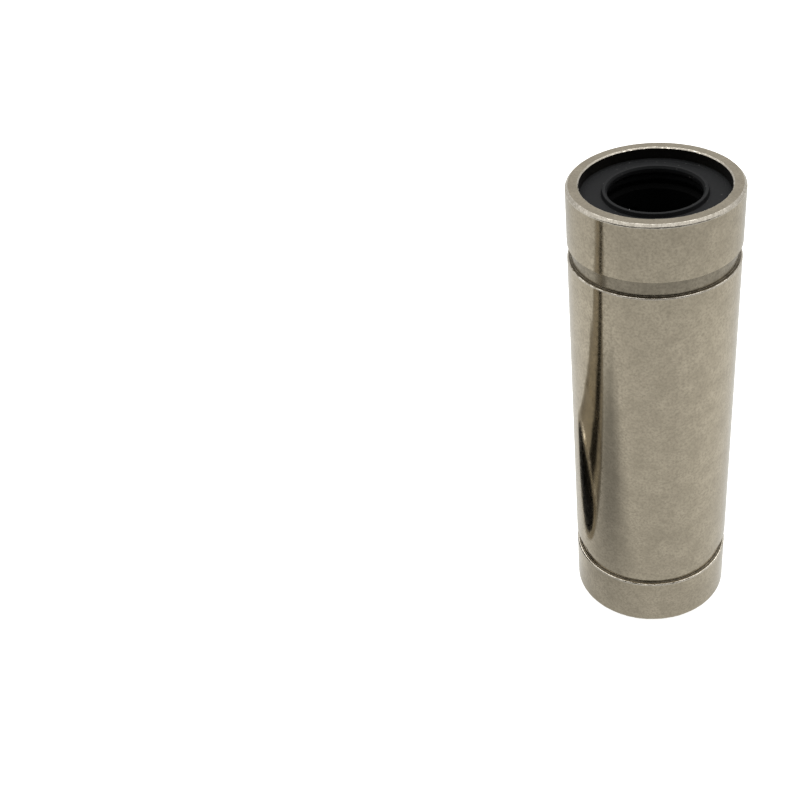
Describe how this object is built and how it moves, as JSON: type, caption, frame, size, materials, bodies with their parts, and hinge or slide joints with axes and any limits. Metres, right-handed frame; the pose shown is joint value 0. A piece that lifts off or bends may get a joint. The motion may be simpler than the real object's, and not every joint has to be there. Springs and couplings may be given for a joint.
{
  "type": "linear ball bushing",
  "caption": "Long closed linear ball bushing: steel outer cylinder with ring grooves, resin ball retainers with recirculating ball circuits, and rubber end seals round an open bore.",
  "frame": {"origin": "centre of the lower end face, on the bore's axis", "axes": "+Z along the bore's axis from the lower end to the upper end; the lower retainer's load rows stand 54, 144, 234 and 324 degrees round from +X, and the upper one's 36, 126, 216 and 306"},
  "size_m": [0.015, 0.015, 0.045],
  "materials": {
    "bearing_steel": "fine ground hardened bearing steel",
    "retainer_resin": "moulded resin",
    "spring_steel": "stamped spring steel",
    "seal_rubber": "matte moulded rubber",
    "washer_steel": "cold rolled sheet",
    "ball_steel": "polished ball steel"
  },
  "bodies": {
    "bushing": {"outer_cylinder": "bearing_steel", "retainer_lower": "retainer_resin", "retainer_upper": "retainer_resin", "side_ring_bottom": "spring_steel", "side_ring_top": "spring_steel", "seal_bottom": "seal_rubber", "seal_top": "seal_rubber", "seal_stiffener_bottom": "washer_steel", "seal_stiffener_top": "washer_steel"},
    "circuit_lower_1_load_train": {"circuit_lower_1_load_balls": "ball_steel"},
    "circuit_lower_1_return_train": {"circuit_lower_1_return_balls": "ball_steel"},
    "circuit_lower_1_inner_turn_train": {"circuit_lower_1_inner_turn_balls": "ball_steel"},
    "circuit_lower_1_outer_turn_train": {"circuit_lower_1_outer_turn_balls": "ball_steel"},
    "circuit_lower_2_load_train": {"circuit_lower_2_load_balls": "ball_steel"},
    "circuit_lower_2_return_train": {"circuit_lower_2_return_balls": "ball_steel"},
    "circuit_lower_2_inner_turn_train": {"circuit_lower_2_inner_turn_balls": "ball_steel"},
    "circuit_lower_2_outer_turn_train": {"circuit_lower_2_outer_turn_balls": "ball_steel"},
    "circuit_lower_3_load_train": {"circuit_lower_3_load_balls": "ball_steel"},
    "circuit_lower_3_return_train": {"circuit_lower_3_return_balls": "ball_steel"},
    "circuit_lower_3_inner_turn_train": {"circuit_lower_3_inner_turn_balls": "ball_steel"},
    "circuit_lower_3_outer_turn_train": {"circuit_lower_3_outer_turn_balls": "ball_steel"},
    "circuit_lower_4_load_train": {"circuit_lower_4_load_balls": "ball_steel"},
    "circuit_lower_4_return_train": {"circuit_lower_4_return_balls": "ball_steel"},
    "circuit_lower_4_inner_turn_train": {"circuit_lower_4_inner_turn_balls": "ball_steel"},
    "circuit_lower_4_outer_turn_train": {"circuit_lower_4_outer_turn_balls": "ball_steel"},
    "circuit_upper_1_load_train": {"circuit_upper_1_load_balls": "ball_steel"},
    "circuit_upper_1_return_train": {"circuit_upper_1_return_balls": "ball_steel"},
    "circuit_upper_1_inner_turn_train": {"circuit_upper_1_inner_turn_balls": "ball_steel"},
    "circuit_upper_1_outer_turn_train": {"circuit_upper_1_outer_turn_balls": "ball_steel"},
    "circuit_upper_2_load_train": {"circuit_upper_2_load_balls": "ball_steel"},
    "circuit_upper_2_return_train": {"circuit_upper_2_return_balls": "ball_steel"},
    "circuit_upper_2_inner_turn_train": {"circuit_upper_2_inner_turn_balls": "ball_steel"},
    "circuit_upper_2_outer_turn_train": {"circuit_upper_2_outer_turn_balls": "ball_steel"},
    "circuit_upper_3_load_train": {"circuit_upper_3_load_balls": "ball_steel"},
    "circuit_upper_3_return_train": {"circuit_upper_3_return_balls": "ball_steel"},
    "circuit_upper_3_inner_turn_train": {"circuit_upper_3_inner_turn_balls": "ball_steel"},
    "circuit_upper_3_outer_turn_train": {"circuit_upper_3_outer_turn_balls": "ball_steel"},
    "circuit_upper_4_load_train": {"circuit_upper_4_load_balls": "ball_steel"},
    "circuit_upper_4_return_train": {"circuit_upper_4_return_balls": "ball_steel"},
    "circuit_upper_4_inner_turn_train": {"circuit_upper_4_inner_turn_balls": "ball_steel"},
    "circuit_upper_4_outer_turn_train": {"circuit_upper_4_outer_turn_balls": "ball_steel"}
  },
  "joints": [
    {"name": "circuit_lower_1_load_row", "type": "slide", "parent": "bushing", "child": "circuit_lower_1_load_train", "axis": [0, 0, 1], "range_m": [-0.00082, 0.00082]},
    {"name": "circuit_lower_1_return_row", "type": "slide", "parent": "bushing", "child": "circuit_lower_1_return_train", "axis": [0, 0, 1], "range_m": [-0.00083, 0.00083]},
    {"name": "circuit_lower_1_inner_turn", "type": "hinge", "parent": "bushing", "child": "circuit_lower_1_inner_turn_train", "pos_m": [0.0019, 0.00465, 0.0191], "axis": [-0.6428, -0.766, 0], "range_deg": [-45.05, 45.05]},
    {"name": "circuit_lower_1_outer_turn", "type": "hinge", "parent": "bushing", "child": "circuit_lower_1_outer_turn_train", "pos_m": [0.0019, 0.00465, 0.0059], "axis": [-0.6428, -0.766, 0], "range_deg": [-45.05, 45.05]},
    {"name": "circuit_lower_2_load_row", "type": "slide", "parent": "bushing", "child": "circuit_lower_2_load_train", "axis": [0, 0, 1], "range_m": [-0.00082, 0.00082]},
    {"name": "circuit_lower_2_return_row", "type": "slide", "parent": "bushing", "child": "circuit_lower_2_return_train", "axis": [0, 0, 1], "range_m": [-0.00083, 0.00083]},
    {"name": "circuit_lower_2_inner_turn", "type": "hinge", "parent": "bushing", "child": "circuit_lower_2_inner_turn_train", "pos_m": [-0.00465, 0.0019, 0.0191], "axis": [0.766, -0.6428, 0], "range_deg": [-45.05, 45.05]},
    {"name": "circuit_lower_2_outer_turn", "type": "hinge", "parent": "bushing", "child": "circuit_lower_2_outer_turn_train", "pos_m": [-0.00465, 0.0019, 0.0059], "axis": [0.766, -0.6428, 0], "range_deg": [-45.05, 45.05]},
    {"name": "circuit_lower_3_load_row", "type": "slide", "parent": "bushing", "child": "circuit_lower_3_load_train", "axis": [0, 0, 1], "range_m": [-0.00082, 0.00082]},
    {"name": "circuit_lower_3_return_row", "type": "slide", "parent": "bushing", "child": "circuit_lower_3_return_train", "axis": [0, 0, 1], "range_m": [-0.00083, 0.00083]},
    {"name": "circuit_lower_3_inner_turn", "type": "hinge", "parent": "bushing", "child": "circuit_lower_3_inner_turn_train", "pos_m": [-0.0019, -0.00465, 0.0191], "axis": [0.6428, 0.766, 0], "range_deg": [-45.05, 45.05]},
    {"name": "circuit_lower_3_outer_turn", "type": "hinge", "parent": "bushing", "child": "circuit_lower_3_outer_turn_train", "pos_m": [-0.0019, -0.00465, 0.0059], "axis": [0.6428, 0.766, 0], "range_deg": [-45.05, 45.05]},
    {"name": "circuit_lower_4_load_row", "type": "slide", "parent": "bushing", "child": "circuit_lower_4_load_train", "axis": [0, 0, 1], "range_m": [-0.00082, 0.00082]},
    {"name": "circuit_lower_4_return_row", "type": "slide", "parent": "bushing", "child": "circuit_lower_4_return_train", "axis": [0, 0, 1], "range_m": [-0.00083, 0.00083]},
    {"name": "circuit_lower_4_inner_turn", "type": "hinge", "parent": "bushing", "child": "circuit_lower_4_inner_turn_train", "pos_m": [0.00465, -0.0019, 0.0191], "axis": [-0.766, 0.6428, 0], "range_deg": [-45.05, 45.05]},
    {"name": "circuit_lower_4_outer_turn", "type": "hinge", "parent": "bushing", "child": "circuit_lower_4_outer_turn_train", "pos_m": [0.00465, -0.0019, 0.0059], "axis": [-0.766, 0.6428, 0], "range_deg": [-45.05, 45.05]},
    {"name": "circuit_upper_1_load_row", "type": "slide", "parent": "bushing", "child": "circuit_upper_1_load_train", "axis": [0, 0, 1], "range_m": [-0.00082, 0.00082]},
    {"name": "circuit_upper_1_return_row", "type": "slide", "parent": "bushing", "child": "circuit_upper_1_return_train", "axis": [0, 0, 1], "range_m": [-0.00083, 0.00083]},
    {"name": "circuit_upper_1_inner_turn", "type": "hinge", "parent": "bushing", "child": "circuit_upper_1_inner_turn_train", "pos_m": [0.0019, -0.00465, 0.0259], "axis": [0.6428, -0.766, 0], "range_deg": [-45.05, 45.05]},
    {"name": "circuit_upper_1_outer_turn", "type": "hinge", "parent": "bushing", "child": "circuit_upper_1_outer_turn_train", "pos_m": [0.0019, -0.00465, 0.0391], "axis": [0.6428, -0.766, 0], "range_deg": [-45.05, 45.05]},
    {"name": "circuit_upper_2_load_row", "type": "slide", "parent": "bushing", "child": "circuit_upper_2_load_train", "axis": [0, 0, 1], "range_m": [-0.00082, 0.00082]},
    {"name": "circuit_upper_2_return_row", "type": "slide", "parent": "bushing", "child": "circuit_upper_2_return_train", "axis": [0, 0, 1], "range_m": [-0.00083, 0.00083]},
    {"name": "circuit_upper_2_inner_turn", "type": "hinge", "parent": "bushing", "child": "circuit_upper_2_inner_turn_train", "pos_m": [-0.00465, -0.0019, 0.0259], "axis": [-0.766, -0.6428, 0], "range_deg": [-45.05, 45.05]},
    {"name": "circuit_upper_2_outer_turn", "type": "hinge", "parent": "bushing", "child": "circuit_upper_2_outer_turn_train", "pos_m": [-0.00465, -0.0019, 0.0391], "axis": [-0.766, -0.6428, 0], "range_deg": [-45.05, 45.05]},
    {"name": "circuit_upper_3_load_row", "type": "slide", "parent": "bushing", "child": "circuit_upper_3_load_train", "axis": [0, 0, 1], "range_m": [-0.00082, 0.00082]},
    {"name": "circuit_upper_3_return_row", "type": "slide", "parent": "bushing", "child": "circuit_upper_3_return_train", "axis": [0, 0, 1], "range_m": [-0.00083, 0.00083]},
    {"name": "circuit_upper_3_inner_turn", "type": "hinge", "parent": "bushing", "child": "circuit_upper_3_inner_turn_train", "pos_m": [-0.0019, 0.00465, 0.0259], "axis": [-0.6428, 0.766, 0], "range_deg": [-45.05, 45.05]},
    {"name": "circuit_upper_3_outer_turn", "type": "hinge", "parent": "bushing", "child": "circuit_upper_3_outer_turn_train", "pos_m": [-0.0019, 0.00465, 0.0391], "axis": [-0.6428, 0.766, 0], "range_deg": [-45.05, 45.05]},
    {"name": "circuit_upper_4_load_row", "type": "slide", "parent": "bushing", "child": "circuit_upper_4_load_train", "axis": [0, 0, 1], "range_m": [-0.00082, 0.00082]},
    {"name": "circuit_upper_4_return_row", "type": "slide", "parent": "bushing", "child": "circuit_upper_4_return_train", "axis": [0, 0, 1], "range_m": [-0.00083, 0.00083]},
    {"name": "circuit_upper_4_inner_turn", "type": "hinge", "parent": "bushing", "child": "circuit_upper_4_inner_turn_train", "pos_m": [0.00465, 0.0019, 0.0259], "axis": [0.766, 0.6428, 0], "range_deg": [-45.05, 45.05]},
    {"name": "circuit_upper_4_outer_turn", "type": "hinge", "parent": "bushing", "child": "circuit_upper_4_outer_turn_train", "pos_m": [0.00465, 0.0019, 0.0391], "axis": [0.766, 0.6428, 0], "range_deg": [-45.05, 45.05]}
  ],
  "couplings": [
    {"joint": "circuit_lower_1_return_row", "follows": "circuit_lower_1_load_row", "ratio": -1},
    {"joint": "circuit_lower_1_inner_turn", "follows": "circuit_lower_1_load_row", "rad_per_m": 952},
    {"joint": "circuit_lower_1_outer_turn", "follows": "circuit_lower_1_load_row", "rad_per_m": 952},
    {"joint": "circuit_lower_2_return_row", "follows": "circuit_lower_2_load_row", "ratio": -1},
    {"joint": "circuit_lower_2_inner_turn", "follows": "circuit_lower_2_load_row", "rad_per_m": 952},
    {"joint": "circuit_lower_2_outer_turn", "follows": "circuit_lower_2_load_row", "rad_per_m": 952},
    {"joint": "circuit_lower_3_return_row", "follows": "circuit_lower_3_load_row", "ratio": -1},
    {"joint": "circuit_lower_3_inner_turn", "follows": "circuit_lower_3_load_row", "rad_per_m": 952},
    {"joint": "circuit_lower_3_outer_turn", "follows": "circuit_lower_3_load_row", "rad_per_m": 952},
    {"joint": "circuit_lower_4_return_row", "follows": "circuit_lower_4_load_row", "ratio": -1},
    {"joint": "circuit_lower_4_inner_turn", "follows": "circuit_lower_4_load_row", "rad_per_m": 952},
    {"joint": "circuit_lower_4_outer_turn", "follows": "circuit_lower_4_load_row", "rad_per_m": 952},
    {"joint": "circuit_upper_1_return_row", "follows": "circuit_upper_1_load_row", "ratio": -1},
    {"joint": "circuit_upper_1_inner_turn", "follows": "circuit_upper_1_load_row", "rad_per_m": 952},
    {"joint": "circuit_upper_1_outer_turn", "follows": "circuit_upper_1_load_row", "rad_per_m": 952},
    {"joint": "circuit_upper_2_return_row", "follows": "circuit_upper_2_load_row", "ratio": -1},
    {"joint": "circuit_upper_2_inner_turn", "follows": "circuit_upper_2_load_row", "rad_per_m": 952},
    {"joint": "circuit_upper_2_outer_turn", "follows": "circuit_upper_2_load_row", "rad_per_m": 952},
    {"joint": "circuit_upper_3_return_row", "follows": "circuit_upper_3_load_row", "ratio": -1},
    {"joint": "circuit_upper_3_inner_turn", "follows": "circuit_upper_3_load_row", "rad_per_m": 952},
    {"joint": "circuit_upper_3_outer_turn", "follows": "circuit_upper_3_load_row", "rad_per_m": 952},
    {"joint": "circuit_upper_4_return_row", "follows": "circuit_upper_4_load_row", "ratio": -1},
    {"joint": "circuit_upper_4_inner_turn", "follows": "circuit_upper_4_load_row", "rad_per_m": 952},
    {"joint": "circuit_upper_4_outer_turn", "follows": "circuit_upper_4_load_row", "rad_per_m": 952}
  ]
}
